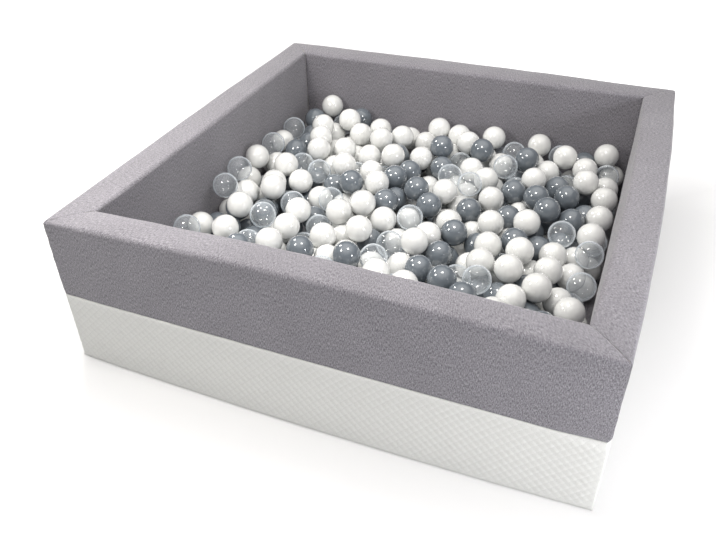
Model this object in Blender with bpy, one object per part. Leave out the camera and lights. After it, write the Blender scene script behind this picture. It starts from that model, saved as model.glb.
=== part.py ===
"""Square soft ball pit: mitred foam walls in a two-part zipped cover, filled with play balls.

The frame has its origin on the ground under the middle of the pit, +Z up and the front wall at -Y.
All sizes are metres.
"""

import math
import random

import bmesh
import bpy
import numpy as np
from mathutils import Matrix, Vector, geometry

# Pit
pit_side = 1.200
pit_height = 0.380
wall_thickness = 0.080
seam_height = 0.186
fit_gap = 0.0003

# Cover and foam
cover_cloth = 0.0030
floor_foam = 0.0400
rim_radius = 0.011
corner_radius = 0.006
pinch_length = 0.110
hem_radius = 0.0050
hem_return = 0.045

# How the stuffed walls swell and lean, outwards from the pit
front_rim_lean = -0.008
side_rim_lean = 0.014
front_inner_lean = -0.009
back_inner_lean = -0.010
left_inner_lean = -0.008
base_swell = 0.012
corner_tuck = 0.0035
seam_band = 0.022
rim_crown = 0.005
rim_arch = 0.0025

# Zip along the back seam
zip_end_room = 0.090
zip_length = pit_side - 2 * zip_end_room
zip_mouth = 0.0110
tape_width = 0.0130
tape_thickness = 0.0008
tooth_row = 0.0030
tooth_slot = 0.0012
tooth_height = 0.0018
stop_length = 0.0050
stop_height = 0.0024

# Zip slider and its pull tab
slider_length = 0.0110
slider_plate = 0.0010
slider_lip = 0.0009
slider_back_width = 0.0070
loop_length = 0.0080
loop_width = 0.0022
loop_bar = 0.0009
loop_rise = 0.0025
tab_length = 0.0260
tab_width = 0.0072
tab_thickness = 0.0013
tab_window = 0.0050
tab_hole = 0.0034

# Play balls
ball_diameter = 0.070
ball_gap = 0.0003
wall_room = 0.0035
fill_level = 0.196
fill_rise = 0.042
ball_step = 0.022
ball_step_end = 0.0003
bed_room = 0.0035
spot_room = 0.0060
gap_spot_room = 0.0090
skin_grid = 0.0065
skin_error = 0.0060
bed_drop = 0.0700
pocket_rise = 0.080
merge_distance = 0.00003

# Shares and counts that set no size; a ring is its share of the ball's radius and its number of spots
TAB_WAIST_SHARES = ((0.45, 0.78), (0.72, 0.92))
bed_ball_share = 1.02
DOME_RING_SHARES = ((0.60, 5), (0.95, 9))
SOCKET_RING_SHARES = ((0.70, 7),)
socket_share = 0.78
socket_drop_share = 0.42
loose_edge_share = 0.86
loose_depth_share = 0.90
wall_section_count = 5
leg_row_count = 2
arc_step_count = 3
top_step_count = 3
ball_segment_count = 10
ball_ring_count = 7
edge_spot_count = 20
gap_round_count = 12
gap_spot_count = 80
loose_ball_count = 24
fill_seed = 11
fill_miss_count = 40

WALLS = ("front", "right", "back", "left")
BACK = 2

top_room = pit_height - seam_height - seam_band
bottom_room = seam_height - seam_band
inner_half = pit_side / 2 - wall_thickness
foam_inset = cover_cloth + fit_gap
foam_bottom = cover_cloth + fit_gap
floor_foam_top = foam_bottom + floor_foam
floor_cloth_bottom = floor_foam_top + fit_gap
floor_top = floor_cloth_bottom + cover_cloth
ball_radius = ball_diameter / 2


def clear_scene():
    for old in list(bpy.data.objects):
        bpy.data.objects.remove(old)


def finish(name, color_share, roughness_share, metallic_share=0.0):
    """A plain Principled material; each node gets its own."""
    material = bpy.data.materials.new(name)
    material.use_nodes = True
    shader = material.node_tree.nodes["Principled BSDF"]
    shader.inputs["Base Color"].default_value = (*color_share, 1.0)
    shader.inputs["Roughness"].default_value = roughness_share
    shader.inputs["Metallic"].default_value = metallic_share
    material.diffuse_color = (*color_share, 1.0)
    return material


GREY_CLOTH_SHARE = (0.30, 0.29, 0.31)
QUILT_SHARE = (0.86, 0.85, 0.84)
FOAM_SHARE = (0.83, 0.80, 0.70)
UNDERSIDE_SHARE = (0.60, 0.60, 0.60)
TAPE_SHARE = (0.24, 0.24, 0.26)
METAL_SHARE = (0.62, 0.62, 0.63)
BALL_SHARES = {"white": (0.90, 0.90, 0.88), "grey": (0.25, 0.28, 0.31), "clear": (0.80, 0.85, 0.88)}


def smooth_step(share):
    share = min(max(share, 0.0), 1.0)
    return share * share * (3 - 2 * share)


def add_object(name, mesh, material, smooth_angle=math.radians(35)):
    mesh.materials.clear()
    mesh.materials.append(material)
    mesh.shade_smooth()
    mesh.set_sharp_from_angle(angle=smooth_angle)
    made = bpy.data.objects.new(name, mesh)
    bpy.context.scene.collection.objects.link(made)
    return made


def mesh_from(name, points, faces):
    mesh = bpy.data.meshes.new(name)
    mesh.from_pydata([tuple(p) for p in points], [], faces)
    shape = bmesh.new()
    shape.from_mesh(mesh)
    bmesh.ops.recalc_face_normals(shape, faces=shape.faces)
    shape.to_mesh(mesh)
    shape.free()
    return mesh


def box_mesh(name, low, high):
    """A box between two corners."""
    shape = bmesh.new()
    size = Vector(high) - Vector(low)
    middle = (Vector(high) + Vector(low)) / 2
    bmesh.ops.create_cube(shape, size=1.0, matrix=Matrix.Translation(middle) @ Matrix.Diagonal((*size, 1)))
    mesh = bpy.data.meshes.new(name)
    shape.to_mesh(mesh)
    shape.free()
    return mesh


def add_box(name, low, high, material):
    return add_object(name, box_mesh(name, low, high), material)


def add_cutter(name, mesh):
    cutter = bpy.data.objects.new(name, mesh)
    bpy.context.scene.collection.objects.link(cutter)
    cutter.hide_render = True
    cutter.display_type = "WIRE"
    return cutter


def combine(target, other, operation):
    step = target.modifiers.new(other.name, "BOOLEAN")
    step.operation = operation
    step.object = other


# Shape of a stuffed wall


def rim_leans(wall):
    """How far the rim's outer and inner edges lean outwards at mid-wall."""
    outer = (front_rim_lean, side_rim_lean, 0.0, 0.0)[wall]
    inner = (front_inner_lean, side_rim_lean, back_inner_lean, left_inner_lean)[wall]
    return outer, inner


def wall_point(wall, along, depth, height):
    """A world point of a wall: along is -1 to 1 between its corners, depth goes in from the outer face."""
    outer_lean, inner_lean = rim_leans(wall)
    belly = 1 - along * along
    above = max(height - seam_height - seam_band, 0.0) / top_room
    below = max(bottom_room - height, 0.0) / bottom_room
    inward = min(max(depth / wall_thickness, 0.0), 1.0)
    rise = smooth_step(above)
    push = belly * rise * (outer_lean * (1 - inward) + inner_lean * inward)
    push += base_swell * belly * smooth_step(below) * (1 - inward)
    near_seam = smooth_step(1 - abs(height - seam_height) / seam_band)
    near_corner = smooth_step(1 - (1 - abs(along)) * pit_side / 2 / pinch_length)
    push -= corner_tuck * near_seam * near_corner * (1 - inward)
    lift = rise * (rim_crown * belly + rim_arch * 4 * inward * (1 - inward))
    depth -= push
    reach = pit_side / 2 - depth - fit_gap / math.sqrt(2)
    point = Vector((along * reach, depth - pit_side / 2, height + lift))
    return Matrix.Rotation(math.radians(90) * wall, 3, "Z") @ point


def edge_radius(along):
    """The rim is soft along the wall and drawn to a sharper edge at the corners."""
    from_corner = (1 - abs(along)) * pit_side / 2
    return corner_radius + (rim_radius - corner_radius) * smooth_step(from_corner / pinch_length)


def rows(start, end, count):
    return [start + (end - start) * k / count for k in range(count)]


def arc(centre, radius, start_degrees, end_degrees, steps):
    """Points of a round edge in the wall's section, both ends included."""
    points = []
    for k in range(steps + 1):
        turn = math.radians(start_degrees + (end_degrees - start_degrees) * k / steps)
        points.append((centre[0] + radius * math.cos(turn), centre[1] + radius * math.sin(turn)))
    return points


def rim_path(along, inset, outer_foot, inner_foot):
    """Section of the wall from its outer foot over the rim to its inner foot, inset from the outer skin."""
    radius = edge_radius(along)
    outer_arc = arc((radius, pit_height - radius), radius - inset, 180, 90, arc_step_count)
    inner_arc = arc((wall_thickness - radius, pit_height - radius), radius - inset, 90, 0, arc_step_count)
    path = [(inset, outer_foot)]
    path += [(inset, z) for z in rows(seam_height + seam_band, outer_arc[0][1], leg_row_count)]
    path += outer_arc
    top = rows(outer_arc[-1][0], inner_arc[0][0], top_step_count)[1:]
    path += [(depth, outer_arc[-1][1]) for depth in top]
    path += inner_arc
    still = seam_height + seam_band
    path += [(wall_thickness - inset, z) for z in rows(inner_arc[-1][1], still, leg_row_count)[1:]]
    path += [(wall_thickness - inset, still), (wall_thickness - inset, inner_foot)]
    return path


def hem_path(inset, top):
    """Section of the lower band from under the wall, round the hem and up to its top edge."""
    hem_arc = arc((hem_radius, hem_radius), hem_radius - inset, 270, 180, arc_step_count)
    path = [(hem_return, inset)]
    path += hem_arc
    path += [(inset, z) for z in rows(hem_arc[-1][1], seam_height - seam_band, leg_row_count)[1:]]
    path += [(inset, seam_height - seam_band), (inset, top)]
    return path


def section_places():
    """Places along a wall, closer together towards its corners."""
    steps = range(-wall_section_count, wall_section_count + 1)
    return [math.sin(math.pi / 2 * k / wall_section_count) for k in steps]


def loft_wall(name, wall, section, paired):
    """Carry a closed section along a wall. A paired section is a skin: its outer path, then its inner one."""
    points, faces = [], []
    places = section_places()
    for along in places:
        points += [wall_point(wall, along, depth, height) for depth, height in section(along)]
    count = len(points) // len(places)
    for row in range(len(places) - 1):
        for k in range(count):
            a, b = row * count + k, row * count + (k + 1) % count
            # The inner path runs back, so its squares are split the other way, to match the outer ones.
            if paired and k >= count // 2:
                faces += [(a, b, a + count), (b, b + count, a + count)]
            else:
                faces += [(a, b, b + count), (a, b + count, a + count)]
    for first in (0, (len(places) - 1) * count):
        if paired:
            for k in range(count // 2 - 1):
                faces.append((first + k, first + k + 1, first + count - 2 - k, first + count - 1 - k))
        else:
            faces.append(tuple(range(first, first + count)))
    return mesh_from(name, points, faces)


# Zip levels, as depths in from the back wall's flat outer face, and its channel cutters

tape_in = cover_cloth
tape_out = tape_in - tape_thickness
teeth_out = tape_out - tooth_height
plate_in = teeth_out - fit_gap
plate_out = plate_in - slider_plate
back_plate_out = tape_in + fit_gap
back_plate_in = back_plate_out + slider_plate
teeth_reach = tooth_slot / 2 + tooth_row
slider_half = teeth_reach + fit_gap + slider_lip


def back_y(depth):
    return pit_side / 2 - depth


def zip_channel(name):
    """What the hems leave free for the tapes, behind them, and for the teeth between them."""
    half = zip_length / 2 + fit_gap
    reach = tape_width + fit_gap + teeth_reach
    clear = cover_cloth + fit_gap
    behind = box_mesh(
        name,
        (-half, back_y(cover_cloth + clear), seam_height - reach),
        (half, back_y(tape_out - fit_gap), seam_height + reach),
    )
    return add_cutter(name, behind)


def zip_mouth_cutter(name):
    half = zip_length / 2 + fit_gap
    return add_cutter(
        name,
        box_mesh(
            name,
            (-half, back_y(cover_cloth * 2), seam_height - zip_mouth / 2),
            (half, back_y(-cover_cloth), seam_height + zip_mouth / 2),
        ),
    )


def slider_groove(name):
    """Where the foam gives way to the slider's back plate."""
    half = zip_length / 2
    reach = slider_half + fit_gap * 2
    return add_cutter(
        name,
        box_mesh(
            name,
            (-half, back_y(back_plate_in + fit_gap * 2), seam_height - reach),
            (half, back_y(-cover_cloth), seam_height + reach),
        ),
    )


def add_upper_cover(channel, mouth):
    """Grey cloth: one strip over each wall, and the floor panel inside."""

    def section(along):
        foot = seam_height + fit_gap / 2
        outside = rim_path(along, 0.0, foot, floor_cloth_bottom)
        inside = rim_path(along, cover_cloth, foot, floor_cloth_bottom)
        return outside + inside[::-1]

    for wall, side in enumerate(WALLS):
        name = "upper_cover_" + side
        strip = add_object(name, loft_wall(name, wall, section, True), finish(name, GREY_CLOTH_SHARE, 0.95))
        if wall == BACK:
            combine(strip, channel, "DIFFERENCE")
            combine(strip, mouth, "DIFFERENCE")
    half = inner_half - fit_gap
    add_box(
        "floor_panel",
        (-half, -half, floor_cloth_bottom),
        (half, half, floor_top),
        finish("floor_panel", GREY_CLOTH_SHARE, 0.95),
    )


def add_lower_cover(channel, mouth):
    """White quilted cloth: a band round each wall, turned under, and the underside panel."""

    def section(along):
        top = seam_height - fit_gap / 2
        return hem_path(0.0, top) + hem_path(cover_cloth, top)[::-1]

    for wall, side in enumerate(WALLS):
        name = "quilted_band_" + side
        band = add_object(name, loft_wall(name, wall, section, True), finish(name, QUILT_SHARE, 0.85))
        if wall == BACK:
            combine(band, channel, "DIFFERENCE")
            combine(band, mouth, "DIFFERENCE")
    half = pit_side / 2 - hem_return - fit_gap
    add_box(
        "underside_panel",
        (-half, -half, 0.0),
        (half, half, cover_cloth),
        finish("underside_panel", UNDERSIDE_SHARE, 0.9),
    )


def add_foam(groove):
    """Four mitred wall blocks round a floor slab."""

    def section(along):
        return hem_path(foam_inset, seam_height)[1:-1] + rim_path(along, foam_inset, seam_height, foam_bottom)

    for wall, side in enumerate(WALLS):
        name = "foam_wall_" + side
        block = add_object(name, loft_wall(name, wall, section, False), finish(name, FOAM_SHARE, 0.9))
        if wall == BACK:
            combine(block, groove, "DIFFERENCE")
    half = inner_half + foam_inset - fit_gap
    add_box(
        "foam_floor",
        (-half, -half, foam_bottom),
        (half, half, floor_foam_top),
        finish("foam_floor", FOAM_SHARE, 0.9),
    )


def prism_x(name, outline, start, end):
    """Extrude an outline of (y, z) points along X."""
    points = [(start, y, z) for y, z in outline] + [(end, y, z) for y, z in outline]
    return prism(name, points)


def prism_z(name, outline, start, end):
    """Extrude an outline of (x, y) points along Z."""
    points = [(x, y, start) for x, y in outline] + [(x, y, end) for x, y in outline]
    return prism(name, points)


def prism(name, points):
    count = len(points) // 2
    faces = [tuple(range(count)), tuple(range(count, 2 * count))]
    for k in range(count):
        after = (k + 1) % count
        faces.append((k, after, after + count, k + count))
    return mesh_from(name, points, faces)


def tape_mesh(name, up):
    """A tape whose inner edge is extruded outwards, between the stops, into its row of teeth."""
    half = zip_length / 2
    run = half - stop_length - fit_gap
    edges = [seam_height + up * reach for reach in (tooth_slot / 2, teeth_reach, teeth_reach + tape_width)]
    shape = bmesh.new()
    rows = [[shape.verts.new((x, back_y(tape_in), z)) for z in edges] for x in (-half, -run, run, half)]
    panes = [
        shape.faces.new((before[i], after[i], after[i + 1], before[i + 1]))
        for before, after in zip(rows, rows[1:])
        for i in range(2)
    ]
    raised = bmesh.ops.extrude_face_region(shape, geom=panes, use_keep_orig=True)["geom"]
    for piece in raised:
        if isinstance(piece, bmesh.types.BMVert):
            piece.co.y = back_y(tape_out)
    teeth_middle = Vector((0, back_y(tape_out), edges[0]))
    panes = [piece for piece in raised if isinstance(piece, bmesh.types.BMFace)]
    teeth_pane = min(panes, key=lambda pane: (pane.calc_center_median() - teeth_middle).length)
    for vert in bmesh.ops.extrude_discrete_faces(shape, faces=[teeth_pane])["faces"][0].verts:
        vert.co.y = back_y(teeth_out)
    bmesh.ops.recalc_face_normals(shape, faces=shape.faces)
    mesh = bpy.data.meshes.new(name)
    shape.to_mesh(mesh)
    shape.free()
    return mesh


def add_zip_tapes():
    """Each tape with its row of teeth, and a stop over the teeth at each end."""
    half = zip_length / 2
    for name, up in (("zip_tape_upper", 1), ("zip_tape_lower", -1)):
        add_object(name, tape_mesh(name, up), finish(name, TAPE_SHARE, 0.8))
    for name, side in (("zip_stop_open_end", -1), ("zip_stop_closed_end", 1)):
        ends = sorted((side * half, side * (half - stop_length)))
        add_box(
            name,
            (ends[0], back_y(tape_out - fit_gap), seam_height - teeth_reach),
            (ends[1], back_y(tape_out - fit_gap - stop_height), seam_height + teeth_reach),
            finish(name, METAL_SHARE, 0.35, 1.0),
        )


slider_rest = zip_length / 2 - stop_length - fit_gap * 2 - slider_length / 2
hinge_depth = plate_out - loop_rise / 2


def slider_body_mesh(name):
    """Both plates and the wedge between the rows of teeth, with lips round the teeth."""
    lip_in = tape_out - fit_gap
    web = tooth_slot / 2 - fit_gap
    lip = slider_half - slider_lip
    profile = [
        (plate_out, slider_half),
        (lip_in, slider_half),
        (lip_in, lip),
        (plate_in, lip),
        (plate_in, web),
        (back_plate_out, web),
        (back_plate_out, slider_back_width / 2),
        (back_plate_in, slider_back_width / 2),
    ]
    outline = [(back_y(depth), seam_height + z) for depth, z in profile]
    outline += [(back_y(depth), seam_height - z) for depth, z in profile[::-1]]
    start = slider_rest - slider_length / 2
    return prism_x(name, outline, start, start + slider_length)


def slider_loop_mesh(name):
    """The bridge on the front plate that the pull tab hangs on."""
    foot = plate_out + slider_plate / 2
    half, inner = loop_length / 2, loop_length / 2 - loop_bar
    top = plate_out - loop_rise
    outline = [
        (half, foot),
        (half, top),
        (half - loop_bar, top - loop_bar),
        (-half + loop_bar, top - loop_bar),
        (-half, top),
        (-half, foot),
        (-inner, foot),
        (-inner, top),
        (inner, top),
        (inner, foot),
    ]
    placed = [(slider_rest + x, back_y(depth)) for x, depth in outline]
    return prism_z(name, placed, seam_height - loop_width / 2, seam_height + loop_width / 2)


def add_slider():
    body = slider_body_mesh("zip_slider")
    slider = add_object("zip_slider", body, finish("zip_slider", METAL_SHARE, 0.3, 1.0))
    combine(slider, add_cutter("slider_loop", slider_loop_mesh("slider_loop")), "UNION")
    return slider


def tab_outline():
    """Pull tab seen along its thin direction: square at the hinge, waisted, round at the free end."""
    half = tab_width / 2
    end = tab_length - half
    side = [(-tab_thickness / 2, half), (tab_window + tab_thickness, half)]
    side += [(tab_length * along, half * wide) for along, wide in TAB_WAIST_SHARES]
    round_end = [(end + half * math.cos(t), half * math.sin(t)) for t in np.radians(range(75, -1, -15))]
    upper = side + round_end
    lower = [(x, -z) for x, z in upper[-2::-1]]
    return upper + lower


def add_pull_tab():
    """The tab lies along the back wall, its end bar under the slider's bridge."""
    hinge = Vector((slider_rest, back_y(hinge_depth), seam_height))
    turn = Matrix.Rotation(math.radians(90), 3, "X")
    plate = []
    for level in (-tab_thickness / 2, tab_thickness / 2):
        plate += [Vector((x, level, z)) for x, z in tab_outline()]
    mesh = prism("zip_pull_tab", plate)
    tab = add_object("zip_pull_tab", mesh, finish("zip_pull_tab", METAL_SHARE, 0.3, 1.0))
    tab.location = hinge
    window = box_mesh(
        "tab_window",
        (tab_thickness / 2, -tab_width, -loop_width / 2 - fit_gap * 2),
        (tab_window, tab_width, loop_width / 2 + fit_gap * 2),
    )
    window_cutter = add_cutter("tab_window", window)
    window_cutter.location = hinge
    combine(tab, window_cutter, "DIFFERENCE")
    shape = bmesh.new()
    bmesh.ops.create_cone(
        shape,
        cap_ends=True,
        segments=12,
        radius1=tab_hole / 2,
        radius2=tab_hole / 2,
        depth=tab_width,
        matrix=Matrix.Translation((tab_length - tab_width / 2, 0, 0)) @ turn.to_4x4(),
    )
    mesh = bpy.data.meshes.new("tab_eye")
    shape.to_mesh(mesh)
    shape.free()
    eye = add_cutter("tab_eye", mesh)
    eye.location = hinge
    combine(tab, eye, "DIFFERENCE")
    return tab


# Ball fill


def surface_level(x, y):
    """How high a ball's centre may lie: the heap climbs towards the left and back walls."""
    left = max(-x / inner_half, 0.0)
    back = max(y / inner_half, 0.0)
    return fill_level + fill_rise * min(left * left + back * back, 1.0)


def rest_height(x, y, settled):
    """Height of a ball's centre where it would touch the floor or the balls below."""
    touch = ball_diameter + ball_gap
    flat = floor_top + ball_gap + ball_radius
    if len(settled) == 0:
        return flat
    offset = settled[:, :2] - (x, y)
    square = touch * touch - (offset * offset).sum(axis=1)
    near = square > 0
    if not near.any():
        return flat
    return max(flat, float((settled[near, 2] + np.sqrt(square[near])).max()))


def roll_down(x, y, settled, reach):
    """Let a ball roll downhill from where it lands until no short step takes it lower."""
    height = rest_height(x, y, settled)
    step = ball_step
    while step > ball_step_end:
        moved = False
        for k in range(8):
            turn = math.pi / 4 * k
            try_x = min(max(x + step * math.cos(turn), -reach), reach)
            try_y = min(max(y + step * math.sin(turn), -reach), reach)
            try_height = rest_height(try_x, try_y, settled)
            if try_height < height - merge_distance / 10:
                x, y, height, moved = try_x, try_y, try_height, True
                break
        if not moved:
            step /= 2
    return x, y, height


def settle_balls():
    """Drop balls at random places until the heap is full; each row is a centre."""
    draw = random.Random(fill_seed)
    reach = inner_half - wall_room - ball_radius
    settled = np.empty((0, 3))
    misses = 0
    while misses < fill_miss_count:
        x, y, height = roll_down(draw.uniform(-reach, reach), draw.uniform(-reach, reach), settled, reach)
        if height > surface_level(x, y):
            misses += 1
            continue
        settled = np.vstack([settled, (x, y, height)])
        misses = 0
    return settled


def lifts_free(settled, k):
    """True where no ball that lies higher is in the way of ball k."""
    level = np.hypot(*(settled[:, :2] - settled[k, :2]).T)
    higher = settled[:, 2] > settled[k, 2]
    return not (higher & (level < ball_diameter + ball_gap * 2)).any()


def sort_balls(settled):
    """Pick the loose balls, free to lift straight out; the others make up the bed."""
    count = range(len(settled))
    free = [k for k in count if lifts_free(settled, k)]
    edge = inner_half * loose_edge_share
    inside = []
    for k in free:
        x, y, height = settled[k]
        if max(abs(x), abs(y)) < edge and height > surface_level(x, y) - loose_depth_share * ball_radius:
            inside.append(k)
    draw = random.Random(fill_seed)
    loose = sorted(draw.sample(inside, min(loose_ball_count, len(inside))))
    return loose, [k for k in count if k not in loose]


def ball_mesh(name, centres, radius, segments, rings):
    shape = bmesh.new()
    for centre in centres:
        place = Matrix.Translation(Vector(centre))
        bmesh.ops.create_uvsphere(shape, u_segments=segments, v_segments=rings, radius=radius, matrix=place)
    mesh = bpy.data.meshes.new(name)
    shape.to_mesh(mesh)
    shape.free()
    return mesh


def pocket_mesh(name, centres):
    """Rooms for the loose balls in the bed, open upwards so that each ball lifts straight out."""
    mesh = ball_mesh(name, [(0.0, 0.0, 0.0)], ball_radius + fit_gap, ball_segment_count, ball_ring_count)
    shape = bmesh.new()
    for centre in centres:
        first = len(shape.verts)
        shape.from_mesh(mesh)
        shape.verts.ensure_lookup_table()
        for vertex in shape.verts[first:]:
            rise = pocket_rise if vertex.co.z > 0 else 0.0
            vertex.co += Vector(centre) + Vector((0.0, 0.0, rise))
    shape.to_mesh(mesh)
    shape.free()
    return mesh


def skin_heights(spots, centres, sockets):
    """Top of the bed over each spot: the highest ball there, or what fills the room under a loose ball."""
    spots = np.array(spots)
    radius = ball_radius * bed_ball_share
    heights = np.array([surface_level(x, y) - bed_drop for x, y in spots])
    for centre in centres:
        square = radius**2 - ((spots - centre[:2]) ** 2).sum(axis=1)
        over = square > 0
        heights[over] = np.maximum(heights[over], centre[2] + np.sqrt(square[over]))
    for centre in sockets:
        under = np.hypot(*(spots - centre[:2]).T) < ball_radius * socket_share
        heights[under] = np.maximum(heights[under], centre[2] - ball_radius * socket_drop_share)
    return heights


def ring_spots(centre, rings):
    """Spots over a ball: its top and rings down its dome."""
    spots = [(float(centre[0]), float(centre[1]))]
    for ring_share, count in rings:
        ring = ball_radius * bed_ball_share * ring_share
        for k in range(count):
            turn = 2 * math.pi * k / count
            spots.append((float(centre[0]) + ring * math.cos(turn), float(centre[1]) + ring * math.sin(turn)))
    return spots


def dome_spots(centres, sockets):
    """Spots on the domes wherever a ball is the highest one, so that each shows round."""
    radius = ball_radius * bed_ball_share
    spots, owns = [], []
    for centre in centres:
        for x, y in ring_spots(centre, DOME_RING_SHARES):
            spots.append((x, y))
            owns.append(centre[2] + math.sqrt(max(radius**2 - math.dist((x, y), centre[:2]) ** 2, 0.0)))
    tops = skin_heights(spots, centres, sockets)
    return [spot for spot, own, top in zip(spots, owns, tops) if top < own + fit_gap]


def sample_skin(plan, heights, faces, ticks):
    """Height of the triangulated skin over a square grid of ticks."""
    grid = np.zeros((len(ticks), len(ticks)))
    for face in faces:
        (ax, ay), (bx, by), (cx, cy) = (plan[n] for n in face)
        area = (bx - ax) * (cy - ay) - (cx - ax) * (by - ay)
        columns = np.searchsorted(ticks, (min(ax, bx, cx), max(ax, bx, cx)))
        lines = np.searchsorted(ticks, (min(ay, by, cy), max(ay, by, cy)))
        if area == 0 or columns[0] == columns[1] or lines[0] == lines[1]:
            continue
        x, y = np.meshgrid(ticks[columns[0] : columns[1]], ticks[lines[0] : lines[1]], indexing="ij")
        b_share = ((x - ax) * (cy - ay) - (cx - ax) * (y - ay)) / area
        c_share = ((bx - ax) * (y - ay) - (x - ax) * (by - ay)) / area
        inside = (b_share >= 0) & (c_share >= 0) & (b_share + c_share <= 1)
        a, b, c = (heights[n] for n in face)
        part = grid[columns[0] : columns[1], lines[0] : lines[1]]
        part[inside] = (a + (b - a) * b_share + (c - a) * c_share)[inside]
    return grid


def skin_plan(centres, sockets):
    """Spots of the skin, their heights and its triangles: more spots where it would stray from the balls."""
    half = inner_half - bed_room
    plan, cells = [], {}

    def add_spot(x, y, room):
        column, line = round(x / gap_spot_room), round(y / gap_spot_room)
        close = [cells.get((column + i, line + j), ()) for i in (-1, 0, 1) for j in (-1, 0, 1)]
        apart = all(abs(x - px) + abs(y - py) > room for cell in close for px, py in cell)
        if apart and max(abs(x), abs(y)) < half - room:
            plan.append((x, y))
            cells.setdefault((column, line), []).append((x, y))
            return True
        return False

    for k in range(edge_spot_count):
        along = -half + 2 * half * k / edge_spot_count
        plan.extend(((along, -half), (half, along), (-along, half), (-half, -along)))
    for centre in sockets:
        for x, y in ring_spots(centre, SOCKET_RING_SHARES):
            add_spot(x, y, spot_room)
    for x, y in dome_spots(centres, sockets):
        add_spot(x, y, spot_room)
    domes = len(plan)
    ticks = np.arange(-half + skin_grid, half, skin_grid)
    grid = [(x, y) for x in ticks for y in ticks]
    wanted = skin_heights(grid, centres, sockets).reshape(len(ticks), len(ticks))
    for _ in range(gap_round_count):
        flat = geometry.delaunay_2d_cdt([Vector(p) for p in plan], [], [], 0, merge_distance)
        spots = [tuple(spot) for spot in flat[0]]
        heights = skin_heights(spots, centres, sockets)
        error = np.abs(sample_skin(spots, heights, flat[2], ticks) - wanted)
        added = 0
        for n in np.argsort(-error, axis=None):
            if error.flat[n] < skin_error or added == gap_spot_count:
                break
            added += add_spot(*grid[n], gap_spot_room)
    print("skin spots on domes", domes, "in gaps", len(plan) - domes)
    flat = geometry.delaunay_2d_cdt([Vector(p) for p in plan], [], [], 0, merge_distance)
    spots = [tuple(spot) for spot in flat[0]]
    return spots, skin_heights(spots, centres, sockets), flat[2]


def bed_mesh(name, centres, sockets):
    """The settled balls as one body: a skin draped over the domes that show, down to the floor."""
    half = inner_half - bed_room
    spots, heights, faces = skin_plan(centres, sockets)
    shape = bmesh.new()
    skin = [shape.verts.new((x, y, height)) for (x, y), height in zip(spots, heights)]
    for face in faces:
        shape.faces.new([skin[n] for n in face])
    base = floor_top + fit_gap
    corners = [(-half, -half), (half, -half), (half, half), (-half, half)]
    feet = [shape.verts.new((x, y, base)) for x, y in corners]
    shape.faces.new(feet)
    for side in range(4):
        start, end = Vector(corners[side]), Vector(corners[(side + 1) % 4])
        way = (end - start).normalized()
        edge = [v for v in skin if abs(way.cross(v.co.xy - start)) < fit_gap]
        edge.sort(key=lambda vertex: way.dot(vertex.co.xy))
        shape.faces.new([feet[(side + 1) % 4], feet[side]] + edge)
    bmesh.ops.recalc_face_normals(shape, faces=shape.faces)
    mesh = bpy.data.meshes.new(name)
    shape.to_mesh(mesh)
    shape.free()
    return mesh


def add_balls():
    settled = settle_balls()
    loose, fixed = sort_balls(settled)
    print("balls", len(settled), "loose", len(loose))
    heap = bed_mesh("ball_bed", settled[fixed], settled[loose])
    bed = add_object("ball_bed", heap, finish("ball_bed", BALL_SHARES["white"], 0.3))
    combine(bed, add_cutter("ball_pockets", pocket_mesh("ball_pockets", settled[loose])), "DIFFERENCE")
    colours = ("white", "grey", "white", "clear", "white", "grey")
    for number, k in enumerate(loose):
        name = "ball_%02d" % (number + 1)
        colour = colours[number % len(colours)]
        mesh = ball_mesh(name, [(0.0, 0.0, 0.0)], ball_radius, ball_segment_count, ball_ring_count)
        ball = add_object(name, mesh, finish(name, BALL_SHARES[colour], 0.2))
        ball.location = settled[k]


def main():
    clear_scene()
    channel = zip_channel("zip_channel")
    mouth = zip_mouth_cutter("zip_mouth")
    add_foam(slider_groove("slider_groove"))
    add_lower_cover(channel, mouth)
    add_upper_cover(channel, mouth)
    add_zip_tapes()
    add_slider()
    add_pull_tab()
    add_balls()


main()
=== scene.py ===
# %% [markdown]
# A soft ball pit, dressed for its picture. The pit is a square of foam walls in a zipped cover, grey
# heather cloth above and white quilting below, full of play balls. The solids come from the CAD model
# and say where everything is. This lesson gives each of them the cloth, the seams and the gloss that
# the real pit shows, and never moves a solid.

# %% Load the solids
import math
import random

import bpy
import numpy as np
from mathutils import Matrix, Vector, noise


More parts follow.
